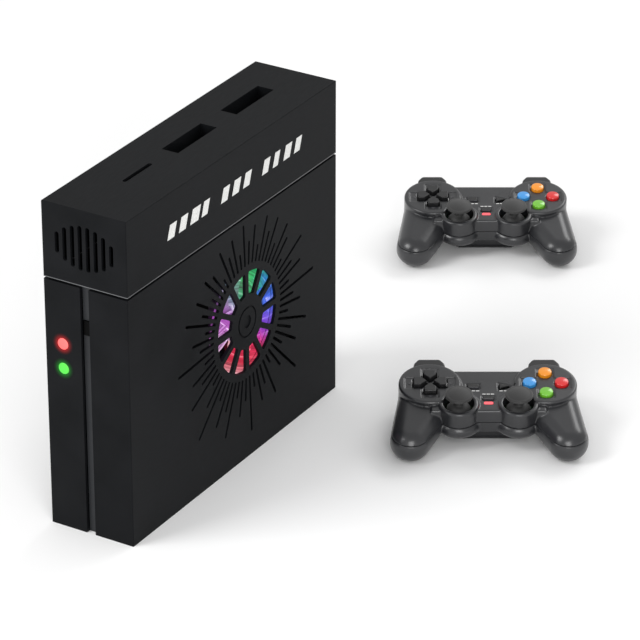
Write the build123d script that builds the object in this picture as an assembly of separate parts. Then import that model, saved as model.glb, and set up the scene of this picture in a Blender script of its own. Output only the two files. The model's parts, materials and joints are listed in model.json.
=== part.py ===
from build123d import *
from math import cos, radians, sin
import os

# A home game console that stands on its narrow edge, and two wireless controllers lying beside it.
# Millimetres. +X points to the console's grille side, +Y to its back, +Z up.
# The origin is the centre of the console's base, on the surface that everything stands on.

# ------------------------------------------------------------------ console, driving dimensions
WIDTH, DEPTH, HEIGHT = 74.0, 296.0, 270.0
WALL = 2.6                      # covers and cap
COVER_TOP = 206.5               # top of the two side covers
CAP_BOTTOM = 208.5              # the deck of the spine fills the 2 mm between, set back as a shadow line
DECK_INSET = 3.0
GROOVE_LEFT, GROOVE_RIGHT = -4.9, 2.8      # the groove down the front, between the covers
GROOVE_DEPTH = 3.8
EDGE_ROUND = 0.9
RIGHT, BACK = WIDTH / 2, DEPTH / 2

FAN_Y, FAN_Z = 15.0, 118.0      # centre of the fan and of the grille
WINDOW_OUTER, WINDOW_INNER = 42.0, 22.5     # radii of the ring of grille windows
WINDOWS = 12
WINDOW_BAR = 4.6                # width of the bars between the windows
RAYS = 60                       # thin air slots around the windows
RAY_START, RAY_WIDTH = 48.0, 2.4
RAY_LENGTHS = (50, 14, 33, 22, 42, 12, 28, 52, 17, 37, 24, 45, 14, 31, 20)     # repeats round the ring
RAY_BAND = 84.0                 # no ray passes this radius above the fan, where the cap's seam is near

PORT_X = -2.5                   # line of the openings in the top
BAY_LENGTH, BAY_WIDTH, BAY_DEPTH = 54.0, 14.5, 16.0
BAY_YS = (-1.5, 80.5)
CARD_SLOT_Y, CARD_SLOT_LENGTH, CARD_SLOT_WIDTH = -72.5, 37.0, 3.6
VENT_HEIGHTS = (17, 27, 33, 36, 36, 33, 27, 17)     # slots in the front of the cap
VENT_PITCH, VENT_WIDTH = 6.8, 3.6

LAMP_X, RED_Z, GREEN_Z, LAMP_RADIUS = -21.5, 156.0, 135.5, 4.6
BUTTON_X, BUTTON_Z, BUTTON_HEIGHT, BUTTON_WIDTH = -1.05, 173.0, 12.0, 6.3
BUTTON_BACK, BUTTON_TRAVEL = -131.0, 1.2

FAN_SIZE, FAN_BORE, FAN_BACK, FAN_FRONT = 92.0, 44.2, 6.5, 31.2
ROTOR_BACK, ROTOR_FRONT = 12.5, 33.2          # the rotor stands proud of the frame, close behind the grille
HUB_RADIUS, BLADES, BLADE_TIP, BLADE_CHORD, BLADE_PITCH = 18.0, 11, 42.0, 22.0, 38.0
BOARD_X = -12.6                 # outer face of the main board
CLEAR = 0.2                     # gap between pieces that only stand beside each other
SCREW_YZ = ((-138.0, 24.0), (-138.0, 188.0), (143.6, 24.0), (143.6, 188.0))


def block(x0, x1, y0, y1, z0, z1):
    """A box between two corners."""
    return Pos((x0 + x1) / 2, (y0 + y1) / 2, (z0 + z1) / 2) * Box(x1 - x0, y1 - y0, z1 - z0)


def rod_x(radius, x0, x1, y, z):
    return Pos((x0 + x1) / 2, y, z) * Rot(Y=90) * Cylinder(radius, abs(x1 - x0))


def rod_y(radius, y0, y1, x, z):
    return Pos(x, (y0 + y1) / 2, z) * Rot(X=90) * Cylinder(radius, y1 - y0)


def rod_z(radius, z0, z1, x=0.0, y=0.0):
    return Pos(x, y, (z0 + z1) / 2) * Cylinder(radius, z1 - z0)


def side_plane(x):
    """A drawing plane on the grille side: its x runs towards the back and its y up, from the fan's centre."""
    return Plane(origin=(x, FAN_Y, FAN_Z), x_dir=(0, 1, 0), z_dir=(1, 0, 0))


# ------------------------------------------------------------------ console, casing
def upper_cap():
    shell = block(-RIGHT, RIGHT, -BACK, BACK, CAP_BOTTOM, HEIGHT)
    shell = fillet(shell.edges().filter_by(Axis.Z) + shell.faces().sort_by(Axis.Z)[-1].edges(), EDGE_ROUND)
    shell -= block(-RIGHT + WALL, RIGHT - WALL, -BACK + WALL, BACK - WALL, CAP_BOTTOM - 1, HEIGHT - WALL)
    for y in BAY_YS:
        shell += port_bay(y)
    for y in BAY_YS:
        shell -= block(PORT_X - BAY_WIDTH / 2, PORT_X + BAY_WIDTH / 2, y - BAY_LENGTH / 2,
                       y + BAY_LENGTH / 2, HEIGHT - BAY_DEPTH, HEIGHT + 1)
    slot = SlotOverall(CARD_SLOT_LENGTH, CARD_SLOT_WIDTH)
    shell -= Pos(PORT_X, CARD_SLOT_Y, HEIGHT - 2 * WALL) * extrude(Rot(Z=90) * slot, 3 * WALL)
    return shell - front_vents()


def port_bay(y):
    """A well moulded under the top, with a floor that two sockets come up through."""
    rim = 1.6
    half_width, half_length = BAY_WIDTH / 2 + rim, BAY_LENGTH / 2 + rim
    well = block(PORT_X - half_width, PORT_X + half_width, y - half_length, y + half_length,
                 HEIGHT - BAY_DEPTH - 2, HEIGHT - WALL)
    for shift in SOCKET_SHIFTS:
        well -= block(PORT_X - SOCKET_WIDTH / 2 - CLEAR, PORT_X + SOCKET_WIDTH / 2 + CLEAR,
                      y + shift - SOCKET_LENGTH / 2 - CLEAR, y + shift + SOCKET_LENGTH / 2 + CLEAR,
                      HEIGHT - BAY_DEPTH - 3, HEIGHT)
    return well


def front_vents():
    """Upright slots with round ends, tallest in the middle, on the front of the cap."""
    plane = Plane(origin=(0, -BACK - 1, (CAP_BOTTOM + HEIGHT) / 2), x_dir=(1, 0, 0), z_dir=(0, 1, 0))
    first = -VENT_PITCH * (len(VENT_HEIGHTS) - 1) / 2
    slots = Sketch() + [Pos(first + i * VENT_PITCH, 0) * Rot(Z=90) * SlotOverall(tall, VENT_WIDTH)
                        for i, tall in enumerate(VENT_HEIGHTS)]
    return extrude(plane * slots, WALL + 2)


def cover(inner, outer):
    """One side cover: a tray with five walls that opens to the spine. inner and outer are its X limits."""
    tray = block(min(inner, outer), max(inner, outer), -BACK, BACK, 0, COVER_TOP)
    outside = tray.faces().sort_by(Axis.X)[0 if outer < 0 else -1]
    tray = fillet(outside.edges().filter_by(Axis.Z), EDGE_ROUND)
    wall = WALL if outer < 0 else -WALL
    hollow = block(min(inner, outer + wall) - (1 if outer > 0 else 0),
                   max(inner, outer + wall) + (1 if outer < 0 else 0),
                   -BACK + WALL, BACK - WALL, WALL, COVER_TOP - WALL)
    return tray - hollow


def left_cover():
    shell = cover(GROOVE_LEFT, -RIGHT)
    for y, z in SCREW_YZ:
        shell += rod_x(4.0, -RIGHT + 1, GROOVE_LEFT, y, z)
        shell -= rod_x(1.6, -RIGHT - 1, 0, y, z) + rod_x(3.7, -RIGHT - 1, -RIGHT + 3.2, y, z)
    for z in (RED_Z, GREEN_Z):
        shell -= rod_y(LAMP_RADIUS + CLEAR, -BACK - 1, -BACK + WALL + 1, LAMP_X, z)
    for x0, x1, z0, z1 in REAR_SOCKETS.values():
        shell -= block(x0 - CLEAR, x1 + CLEAR, BACK - WALL - 1, BACK + 1, z0 - CLEAR, z1 + CLEAR)
    return shell


def grille_window(index):
    """One window: a wedge of the ring, narrowed by the bars and with rounded corners."""
    step = 360 / WINDOWS
    ring = Circle(WINDOW_OUTER) - Circle(WINDOW_INNER)
    wedge = Polyline((0, 0), (90 * cos(radians(step / 2)), 90 * sin(radians(step / 2))),
                     (90 * cos(radians(step / 2)), -90 * sin(radians(step / 2))), close=True)
    pane = ring & offset(make_face(wedge), -WINDOW_BAR / 2)
    pane = fillet(pane.vertices(), 1.8)
    return Rot(Z=step * (index + 0.5)) * pane


def grille_rays():
    """Thin radial slots of uneven length, kept below the seam under the cap."""
    slots = Sketch()
    for i in range(RAYS):
        angle = 360 / RAYS * (i + 0.5)
        length = RAY_LENGTHS[i % len(RAY_LENGTHS)]
        if RAY_START + length > RAY_BAND and 40 < angle < 140:
            length = RAY_BAND - RAY_START
        slots += Rot(Z=angle) * Pos(RAY_START + length / 2, 0) * SlotOverall(length, RAY_WIDTH)
    return slots


def right_cover():
    shell = cover(GROOVE_RIGHT, RIGHT)
    for y, z in SCREW_YZ:
        shell += rod_x(4.0, GROOVE_RIGHT, RIGHT - 1, y, z) - rod_x(1.5, 0, 18, y, z)
    cuts = grille_rays()
    for i in range(WINDOWS):
        cuts += grille_window(i)
    shell -= extrude(side_plane(RIGHT - WALL - 1) * cuts, WALL + 2)
    badge = Circle(13) - Circle(11.4) + Circle(5.2)
    shell -= extrude(side_plane(RIGHT - 0.9) * badge, 2)
    for i in range(9):                       # air slots in the back wall
        shell -= block(9, 31, BACK - WALL - 1, BACK + 1, 40 + 14 * i, 44 + 14 * i)
    return shell


def spine_frame():
    """The frame between the covers: a rimmed web that ends in the deck the cap stands on."""
    frame = block(GROOVE_LEFT, GROOVE_RIGHT, -BACK + GROOVE_DEPTH, BACK, 0, COVER_TOP)
    web_left, web_right = -2.4, -0.4
    frame -= block(GROOVE_LEFT - 1, web_left, -133, 139, 9, 200)
    frame -= block(web_right, GROOVE_RIGHT + 1, -133, 139, 9, 200)
    for row in range(7):                     # air passes to the heatsink
        frame -= block(-4, 1, FAN_Y - 36, FAN_Y + 36, FAN_Z - 40 + 12 * row, FAN_Z - 34 + 12 * row)
    frame += block(-RIGHT + DECK_INSET, RIGHT - DECK_INSET, -BACK + DECK_INSET, BACK - DECK_INSET,
                   COVER_TOP, CAP_BOTTOM)
    half_width, half_height = BUTTON_WIDTH / 2 + CLEAR, BUTTON_HEIGHT / 2 + CLEAR
    frame -= block(BUTTON_X - half_width, BUTTON_X + half_width, -BACK, BUTTON_BACK + BUTTON_TRAVEL + 0.8,
                   BUTTON_Z - half_height, BUTTON_Z + half_height)
    for y, z in SCREW_YZ:
        frame -= rod_x(1.6, -10, 10, y, z)
    for y, z in BOARD_POSTS:
        frame += rod_x(3, BOARD_X + 1.6, web_left, y, z)
    return frame


def cover_screws():
    parts = []
    for y, z in SCREW_YZ:
        head = rod_x(3.3, -RIGHT + 1.2, -RIGHT + 3.1, y, z)
        slot = block(-RIGHT, -RIGHT + 1.9, y - 2.2, y + 2.2, z - 0.4, z + 0.4)
        slot += block(-RIGHT, -RIGHT + 1.9, y - 0.4, y + 0.4, z - 2.2, z + 2.2)
        parts.append(head + rod_x(1.4, -RIGHT + 3, 14, y, z) - slot)
    return Compound(children=parts)


# ------------------------------------------------------------------ console, electronics
SOCKET_LENGTH, SOCKET_WIDTH, SOCKET_TALL = 13.1, 5.7, 14.0
SOCKET_SHIFTS = (-12.5, 12.5)
SOCKET_TOP = HEIGHT - BAY_DEPTH + 5
REAR_SOCKETS = {                # X and Z limits of the sockets in the back wall of the left cover
    "network": (-28.4, -13.0, 92.0, 108.4),
    "video": (-20.0, -13.0, 120.0, 135.4),
    "power": (-22.4, -13.0, 60.0, 71.4),
}
BOARD_POSTS = ((-112, 30), (-112, 180), (130, 30), (130, 180))


def main_board():
    """The board with its memory and control chips."""
    board = block(BOARD_X, BOARD_X + 1.6, -122, 138, 20, 190)
    chips = [block(BOARD_X - 2.0, BOARD_X, -8, 18, 92, 118)]
    for z in (66, 82, 130, 146):
        chips.append(block(BOARD_X - 1.2, BOARD_X, 58, 72, z, z + 11))
    chips.append(block(BOARD_X - 1.2, BOARD_X, -84, -66, 70, 88))
    for i in range(5):
        chips.append(rod_x(4, BOARD_X - 9, BOARD_X, -100 + 11 * i, 164))
    return Compound(children=[board, *chips])


def heatsink():
    """A finned block on the processor; the fins stand upright for rising air."""
    back = BOARD_X - 2.0
    body = block(back - 3, back, -30, 40, 72, 138)
    for i in range(12):
        y = -30 + i * 6.2
        body += block(back - 17, back - 2.5, y, y + 1.6, 72, 138)
    return body


def usb_ports():
    """Four sockets, the card reader and the board that carries them, all under the cap."""
    board_top = SOCKET_TOP - SOCKET_TALL
    parts = [block(PORT_X - 14, PORT_X + 14, CARD_SLOT_Y - 24, BAY_YS[1] + 30, board_top - 1.6, board_top)]
    for y in BAY_YS:
        for shift in SOCKET_SHIFTS:
            parts.append(usb_socket(y + shift, board_top))
    reader = block(PORT_X - 4, PORT_X + 4, CARD_SLOT_Y - 17, CARD_SLOT_Y + 17, board_top, HEIGHT - WALL - 2)
    reader -= block(PORT_X - 1.3, PORT_X + 1.3, CARD_SLOT_Y - 13, CARD_SLOT_Y + 13, board_top + 4, HEIGHT)
    parts.append(reader)
    return Compound(children=parts)


def usb_socket(y, base):
    half_width, half_length, sheet = SOCKET_WIDTH / 2, SOCKET_LENGTH / 2, 0.5
    shell = block(PORT_X - half_width, PORT_X + half_width, y - half_length, y + half_length, base, SOCKET_TOP)
    shell -= block(PORT_X - half_width + sheet, PORT_X + half_width - sheet, y - half_length + sheet,
                   y + half_length - sheet, base + 3, SOCKET_TOP + 1)
    return shell + block(PORT_X + 0.2, PORT_X + 2, y - 5.4, y + 5.4, base + 2, SOCKET_TOP - 1)


def rear_sockets():
    """Network, video and power sockets on the board's back edge."""
    depth, sheet = 21.0, 0.8
    parts = []
    for name, (x0, x1, z0, z1) in REAR_SOCKETS.items():
        body = block(x0, x1, BACK - depth, BACK - 0.6, z0, z1)
        if name == "power":
            body -= rod_y(3.1, BACK - 11, BACK, (x0 + x1) / 2, (z0 + z1) / 2)
            body += rod_y(1.0, BACK - 12, BACK - 2, (x0 + x1) / 2, (z0 + z1) / 2)
        else:
            body -= block(x0 + sheet, x1 - sheet, BACK - 14, BACK, z0 + sheet, z1 - sheet)
        if name == "video":
            body += block((x0 + x1) / 2 - 1, (x0 + x1) / 2 + 1, BACK - 15, BACK - 2, z0 + 2, z1 - 2)
        parts.append(body)
    return Compound(children=parts)


# ------------------------------------------------------------------ console, fan, button and lamps
def fan_frame():
    """Square frame with a round duct, and at its back the four struts that carry the motor."""
    half = FAN_SIZE / 2
    frame = block(FAN_BACK, FAN_FRONT, FAN_Y - half, FAN_Y + half, FAN_Z - half, FAN_Z + half)
    frame = fillet(frame.edges().filter_by(Axis.X), 4)
    frame -= rod_x(FAN_BORE, 0, RIGHT, FAN_Y, FAN_Z)
    struts = Box(3, 2 * FAN_BORE + 1, 5) + Box(3, 5, 2 * FAN_BORE + 1)
    struts = Pos(FAN_BACK + 1.5, FAN_Y, FAN_Z) * Rot(X=20) * struts
    motor = rod_x(HUB_RADIUS - 1, FAN_BACK, FAN_BACK + 4, FAN_Y, FAN_Z)
    motor += rod_x(5, FAN_BACK, FAN_BACK + 10, FAN_Y, FAN_Z)
    frame += struts + motor
    frame -= rod_x(1.55, FAN_BACK + 1, FAN_BACK + 12, FAN_Y, FAN_Z)
    for y in (-41, 41):
        for z in (-41, 41):
            frame -= rod_x(2.1, 0, RIGHT, FAN_Y + y, FAN_Z + z)
    return frame


def fan_rotor():
    """Hub cup, its shaft and the pitched blades."""
    hub = rod_x(HUB_RADIUS, ROTOR_BACK, ROTOR_FRONT, FAN_Y, FAN_Z)
    hub -= rod_x(HUB_RADIUS - 2, ROTOR_BACK - 1, ROTOR_FRONT - 3, FAN_Y, FAN_Z)
    hub += rod_x(1.5, FAN_BACK + 2, ROTOR_FRONT - 2, FAN_Y, FAN_Z)
    length = BLADE_TIP - HUB_RADIUS + 1.5
    for i in range(BLADES):
        blade = Pos(0, 0, HUB_RADIUS - 1.5 + length / 2) * Rot(Z=-BLADE_PITCH) * Box(1.5, BLADE_CHORD, length)
        hub += Pos(ROTOR_FRONT - 8.5, FAN_Y, FAN_Z) * Rot(X=360 / BLADES * i) * blade
    return hub


def fan_light_ring():
    return rod_x(46, FAN_FRONT + 0.3, FAN_FRONT + 2.9, FAN_Y, FAN_Z) \
        - rod_x(43.4, 0, RIGHT, FAN_Y, FAN_Z)


def power_button():
    """A key that stands out of the groove and slides in the spine's slot."""
    front = -BACK + GROOVE_DEPTH - 1.4
    key = block(BUTTON_X - BUTTON_WIDTH / 2, BUTTON_X + BUTTON_WIDTH / 2, front, BUTTON_BACK,
                BUTTON_Z - BUTTON_HEIGHT / 2, BUTTON_Z + BUTTON_HEIGHT / 2)
    return fillet(key.faces().sort_by(Axis.Y)[0].edges(), 0.6)


def lamp(z):
    """A light pipe with a domed end and a collar behind the cover's front wall."""
    pipe = rod_y(LAMP_RADIUS, -BACK - 0.7, -BACK + 12, LAMP_X, z)
    pipe = fillet(pipe.edges().sort_by(Axis.Y)[0], 0.6)
    return pipe + rod_y(LAMP_RADIUS + 1.6, -BACK + WALL + 0.1, -BACK + WALL + 1.7, LAMP_X, z)


CONSOLE = {
    "upper_cap": upper_cap,
    "left_cover": left_cover,
    "right_cover": right_cover,
    "spine_frame": spine_frame,
    "cover_screws": cover_screws,
    "main_board": main_board,
    "heatsink": heatsink,
    "usb_ports": usb_ports,
    "rear_sockets": rear_sockets,
    "fan_frame": fan_frame,
    "fan_rotor": fan_rotor,
    "fan_light_ring": fan_light_ring,
    "power_button": power_button,
    "indicator_lamps": lambda: Compound(children=[lamp(RED_Z), lamp(GREEN_Z)]),
}

# ------------------------------------------------------------------ controller, driving dimensions
# A controller is drawn in its own frame: x to its right, y to its shoulder buttons, z out of its face.
SHELL = 2.2
POD_X, POD_RADIUS, POD_TOP, POD_BOTTOM = 45.4, 24.8, 12.0, -14.0
GRIP_X, GRIP_Y, GRIP_RADIUS = 61.4, -47.7, 16.0
GRIP_THICK, GRIP_MIDDLE, GRIP_DROOP, GRIP_ROUND = 27.0, -3.5, 6.0, 11.5
WELL_X, WELL_Y, WELL_RADIUS, WELL_TOP, WELL_OPENING = 23.4, -23.6, 16.0, 11.0, 12.2
BOWL_RADIUS, BOWL_TOP = 18.6, -3.0           # the bulge of the lower shell under each well
BRIDGE_Y0, BRIDGE_Y1, BRIDGE_TOP, BRIDGE_BOTTOM = -31.9, 19.4, 9.0, -12.0
SPLIT = -2.5                    # the shells meet here
PCB_TOP, PCB_BOTTOM = -4.4, -6.0
REST_TILT = 10.0                # the face leans towards the player when the controller lies on a table
KEY_REACH, KEY_HALF, KEY_TIP = 13.0, 4.7, 2.6
KEY_GAP = 0.85
DPAD_TOP, PIVOT_Z = 15.0, 2.2
FACE_REACH, FACE_RADIUS, FACE_TOP = 12.6, 5.4, 14.6
SHOULDER_HALF, SHOULDER_TOP, SHOULDER_BOTTOM = 13.2, 9.3, -1.6
SHOULDER_Y, SHOULDER_Z = 19.2, 7.4          # its hinge
TRIGGER_Y, TRIGGER_Z, TRIGGER_HALF = 15.5, -5.8, 13.4
STICK_RADIUS, STICK_BOTTOM, STICK_TOP = 11.0, 17.5, 21.5
SELECT_AT, START_AT, MODE_AT, LIGHT_AT = (-11.4, -0.7), (13.6, -0.7), (0.0, -15.3), (0.0, -21.6)
CASE_HALF, CASE_BACK, CASE_FRONT = 26.5, -12.0, 17.0     # battery compartment under the middle
CELL_RADIUS, CELL_Z = 5.25, -20.5

CONTROLLER_YAW = 31.0
CONTROLLER_PLACES = {"controller1": (176.0, 148.0), "controller2": (10.0, 446.0)}


def both_sides(make):
    return make(-1) + make(1)


def grip(side, inset):
    """A slab round the pod and the grip's end, with its long edges rounded, drooping towards the end."""
    circles = Pos(side * POD_X, 0) * Circle(POD_RADIUS - 0.4 - inset) \
        + Pos(side * GRIP_X, GRIP_Y) * Circle(GRIP_RADIUS - inset)
    outline = make_hull(circles.edges())
    thick = GRIP_THICK - 2 * inset
    slab = Pos(0, 0, -thick / 2) * extrude(outline, thick)
    slab = fillet(slab.faces().sort_by(Axis.Z)[0].edges() + slab.faces().sort_by(Axis.Z)[-1].edges(),
                  GRIP_ROUND - inset)
    return Pos(0, 0, GRIP_MIDDLE) * Rot(X=GRIP_DROOP) * slab


def pod(side, inset):
    disc = rod_z(POD_RADIUS - inset, POD_BOTTOM + inset, POD_TOP - inset, side * POD_X)
    return fillet(disc.edges().filter_by(GeomType.CIRCLE), 1.6)


def well(side, inset):
    disc = rod_z(WELL_RADIUS - inset, BRIDGE_BOTTOM + inset, WELL_TOP - inset, side * WELL_X, WELL_Y)
    return fillet(disc.edges().filter_by(GeomType.CIRCLE).sort_by(Axis.Z)[-1], 1.2)


def bowl(side, inset):
    disc = rod_z(BOWL_RADIUS - inset, BRIDGE_BOTTOM + inset, BOWL_TOP - inset, side * WELL_X, WELL_Y)
    return fillet(disc.edges().filter_by(GeomType.CIRCLE).sort_by(Axis.Z)[0], 3.0)


def bridge(inset):
    plate = block(-POD_X, POD_X, BRIDGE_Y0 + inset, BRIDGE_Y1 - inset, BRIDGE_BOTTOM + inset,
                  BRIDGE_TOP - inset)
    if inset == 0:
        plate = fillet(plate.edges().filter_by(Axis.X), 1.5)
    return plate


def body(inset):
    """The whole controller as one solid, every surface moved in by inset."""
    solid = bridge(inset)
    for side in (-1, 1):
        solid += pod(side, inset)
        solid += grip(side, inset)
        solid += well(side, inset)
        solid += bowl(side, inset)
    return solid


def trigger_housing(side, inset):
    x = side * POD_X
    return block(x - 16.4 + inset, x + 16.4 - inset, 6 + inset, 19.4 + (5 if inset else 0),
                 -25 + inset, -10)


def resting(shape):
    """Turns a shape drawn in the resting attitude into the controller's own frame."""
    return Rot(X=-REST_TILT) * shape


def floor_height():
    """Where the table lies under the grips, in the resting attitude."""
    return (Rot(X=REST_TILT) * grip(1, 0)).bounding_box().min.Z


def battery_case(inset, floor):
    """The compartment's block in the resting attitude, from the table up into the body."""
    return resting(block(-CASE_HALF + inset, CASE_HALF - inset, CASE_BACK + inset - 3,
                         CASE_FRONT - inset - 3, floor - (1 if inset else 0), -8.0))


# ------------------------------------------------------------------ controller, shells
def key_outline(gap=0.0):
    """The upper key of the direction pad: a square end and a point towards the middle."""
    shoulder = KEY_TIP + KEY_HALF
    line = Polyline((-KEY_HALF, KEY_REACH), (-KEY_HALF, shoulder), (0, KEY_TIP), (KEY_HALF, shoulder),
                    (KEY_HALF, KEY_REACH), close=True)
    face = fillet(make_face(line).vertices(), 0.7)
    return offset(face, gap) if gap else face


def start_outline(grow=0.0):
    triangle = make_face(Polyline((-4.3, -3.0), (-4.3, 3.0), (4.3, 0), close=True))
    triangle = fillet(triangle.vertices(), 0.6)
    return offset(triangle, grow) if grow else triangle


def cross_recess(side):
    return Pos(side * POD_X, 0, POD_TOP - 0.5) * (Box(40, 14, 1) + Box(13.6, 37, 1))


def upper_shell(outer, inner):
    shell = (outer - inner) & block(-90, 90, -80, 60, SPLIT, 30)
    for side in (-1, 1):
        sleeve = rod_z(WELL_OPENING + 1.4, 3, WELL_TOP - 1, side * WELL_X, WELL_Y)
        shell += sleeve
        shell -= rod_z(WELL_OPENING, 0, 20, side * WELL_X, WELL_Y)
        shell -= cross_recess(side)
        x = side * POD_X
        shell -= block(x - SHOULDER_HALF - 0.5, x + SHOULDER_HALF + 0.5, 14, 40, SPLIT - 1, POD_TOP - SHELL)
        shell -= rod_x(1.0, x - 15.2, x + 15.2, SHOULDER_Y, SHOULDER_Z)
    for i in range(4):
        turn = Pos(-POD_X, 0) * Rot(Z=90 * i)
        shell -= Pos(0, 0, 5) * (turn * extrude(key_outline(KEY_GAP), 10))
        shell -= Pos(POD_X, 0) * Rot(Z=90 * i) * rod_z(FACE_RADIUS + 0.4, 5, 20, FACE_REACH)
    for (x, y), wide, tall in ((SELECT_AT, 8.4, 4.6), (MODE_AT, 8.0, 4.0)):
        shell -= Pos(x, y, 8) * Box(wide + 0.8, tall + 0.8, 8)
        shell -= Pos(x, y, BRIDGE_TOP) * Box(wide + 3.0, tall + 2.6, 1)
    shell -= Pos(*START_AT, 4) * extrude(start_outline(0.4), 8)
    shell -= Pos(*LIGHT_AT, 8) * Box(7.4, 2.7, 8)
    return shell


def lower_shell(outer, inner, floor):
    case = battery_case(0, floor)
    solid = outer + both_sides(lambda side: trigger_housing(side, 0)) + case
    shell = solid - inner
    shell &= block(-90, 90, -80, 60, -60, SPLIT)
    for side in (-1, 1):
        x = side * POD_X
        shell -= trigger_housing(side, SHELL)
        shell -= block(x - 14.2, x + 14.2, 13.5, 40, -22.8, SPLIT + 1)
        shell += block(x - 16.2, x - 14.2, 13, 18, -10, SPLIT) + block(x + 14.2, x + 16.2, 13, 18, -10, SPLIT)
        shell -= rod_x(1.3, x - 20, x + 20, TRIGGER_Y, TRIGGER_Z)
    shell -= battery_case(3, floor) & block(-60, 60, -60, 60, -60, BRIDGE_BOTTOM)
    shell -= resting(block(-CASE_HALF + 3, CASE_HALF - 3, -60, 60, floor - 1, floor + 2.6))
    return shell


def battery_cover(floor):
    """The sliding door: a plate between the compartment's side walls, just clear of the table."""
    plate = block(-CASE_HALF + 3.3, CASE_HALF - 3.3, CASE_BACK - 3, CASE_FRONT - 3, floor + 0.5, floor + 2.3)
    for i in range(5):
        plate -= block(-9, 9, -9 + 2.4 * i, -8 + 2.4 * i, floor, floor + 1.0)
    return resting(plate)


def batteries():
    """Two cells side by side across the compartment, each with its contact cap."""
    cells = []
    for y, turn in ((-6.0, 1), (5.0, -1)):
        cell = rod_x(CELL_RADIUS, -21.5, 21.5, y, CELL_Z)
        cell += rod_x(1.9, turn * 22 - 0.8, turn * 22 + 0.8, y, CELL_Z)
        cells.append(resting(cell))
    return Compound(children=cells)


# ------------------------------------------------------------------ controller, board and moving pieces
def circuit_board(inner_tight):
    """The board, the contact pads under the keys and the brackets that carry the sticks and the pad."""
    board = inner_tight & block(-90, 90, -70, 60, PCB_BOTTOM, PCB_TOP)
    board -= both_sides(lambda side: block(side * POD_X - 18, side * POD_X + 18, 12.7, 40, -20, 20))
    board -= block(-90, 90, -70, -40, -20, 0)
    parts = [board]
    for i in range(4):
        parts.append(Pos(POD_X, 0) * Rot(Z=90 * i) * rod_z(2.0, PCB_TOP, -1.1, FACE_REACH - 2))
        parts.append(Pos(-POD_X, 0) * Rot(Z=90 * i) * rod_z(2.6, PCB_TOP, -1.5, 9.0, 5.2))
    for x, y in (SELECT_AT, START_AT, MODE_AT):
        parts.append(rod_z(1.6, PCB_TOP, -0.9, x, y))
    for side in (-1, 1):
        bearing = block(-POD_X + side * 7.5 - 1, -POD_X + side * 7.5 + 1, -2.2, 2.2, PCB_TOP, PIVOT_Z + 2)
        parts.append(bearing - rod_x(1.25, -70, 0, 0, PIVOT_Z))
        for ear in (-1, 1):
            x = side * WELL_X + ear * 10.6
            post = block(x - 0.9, x + 0.9, WELL_Y - 2.2, WELL_Y + 2.2, PCB_TOP, 2.0)
            parts.append(post - rod_x(1.05, x - 5, x + 5, WELL_Y, 0))
    return Compound(children=parts)


def dpad_pivot():
    """The cross that lets the pad rock both ways: one arm in the brackets, one in the pad."""
    return rod_x(1.2, -POD_X - 8.4, -POD_X + 8.4, 0, PIVOT_Z) + rod_y(1.2, -8.4, 8.4, -POD_X, PIVOT_Z)


def dpad():
    """One moulding: a disc under the shell with four keys on it and two lugs on the pivot."""
    base = rod_z(13.4, 5.5, 7.2)
    for i in range(4):
        key = extrude(key_outline(), DPAD_TOP - 6)
        key = fillet(key.faces().sort_by(Axis.Z)[-1].edges(), 0.8)
        base += Rot(Z=90 * i) * Pos(0, 0, 6) * key
    for y in (-7.5, 7.5):
        lug = block(-2.2, 2.2, y - 1, y + 1, 0.4, 6)
        base += lug - rod_y(1.25, y - 5, y + 5, 0, PIVOT_Z)
    return Pos(-POD_X, 0, 0) * base


def face_button(turn):
    cap = fillet(rod_z(FACE_RADIUS, 8, FACE_TOP).edges().sort_by(Axis.Z)[-1], 1.3)
    cap += rod_z(FACE_RADIUS + 1.1, 7.6, 9.5) + rod_z(3.4, 0.2, 7.8)
    return Pos(POD_X, 0) * Rot(Z=turn) * Pos(FACE_REACH, 0) * cap


def small_key(at, outline, top):
    """A key of the middle bar: its cap, a flange under the shell and a stem."""
    cap = extrude(outline, top - 5.4)
    cap = fillet(cap.faces().sort_by(Axis.Z)[-1].edges(), 0.5)
    flange = extrude(offset(outline, 1.0), 1.5)
    return Pos(*at, 0) * (Pos(0, 0, 5.4) * cap + Pos(0, 0, 5.1) * flange + rod_z(1.4, 0.2, 5.4))


def light_window():
    return Pos(*LIGHT_AT, 2.65) * fillet(Box(7.2, 2.5, 13.3).edges().filter_by(Axis.Z), 1.1)


def shoulder(side):
    """The upper shoulder button: it turns on two stubs under the pod's top."""
    line = Polyline((-SHOULDER_HALF, SHOULDER_Y - 1.6), (-SHOULDER_HALF, 22), (-12.0, 29), (-8.6, 34.2),
                    (8.6, 34.2), (12.0, 29), (SHOULDER_HALF, 22), (SHOULDER_HALF, SHOULDER_Y - 1.6),
                    (9.0, SHOULDER_Y - 1.6), (9.0, 19.9), (-9.0, 19.9), (-9.0, SHOULDER_Y - 1.6), close=True)
    face = make_face(line)
    face = fillet([v for v in face.vertices() if v.Y > 25], 3.0)
    key = Pos(0, 0, SHOULDER_BOTTOM) * extrude(face, SHOULDER_TOP - SHOULDER_BOTTOM)
    front_top = [e for e in key.faces().sort_by(Axis.Z)[-1].edges() if e.center().Y > 21.6]
    key = fillet(front_top, 1.6)
    key += both_sides(lambda end: rod_x(0.9, 12 * end, 14.8 * end, SHOULDER_Y, SHOULDER_Z))
    return Pos(side * POD_X, 0, 0) * key


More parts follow.
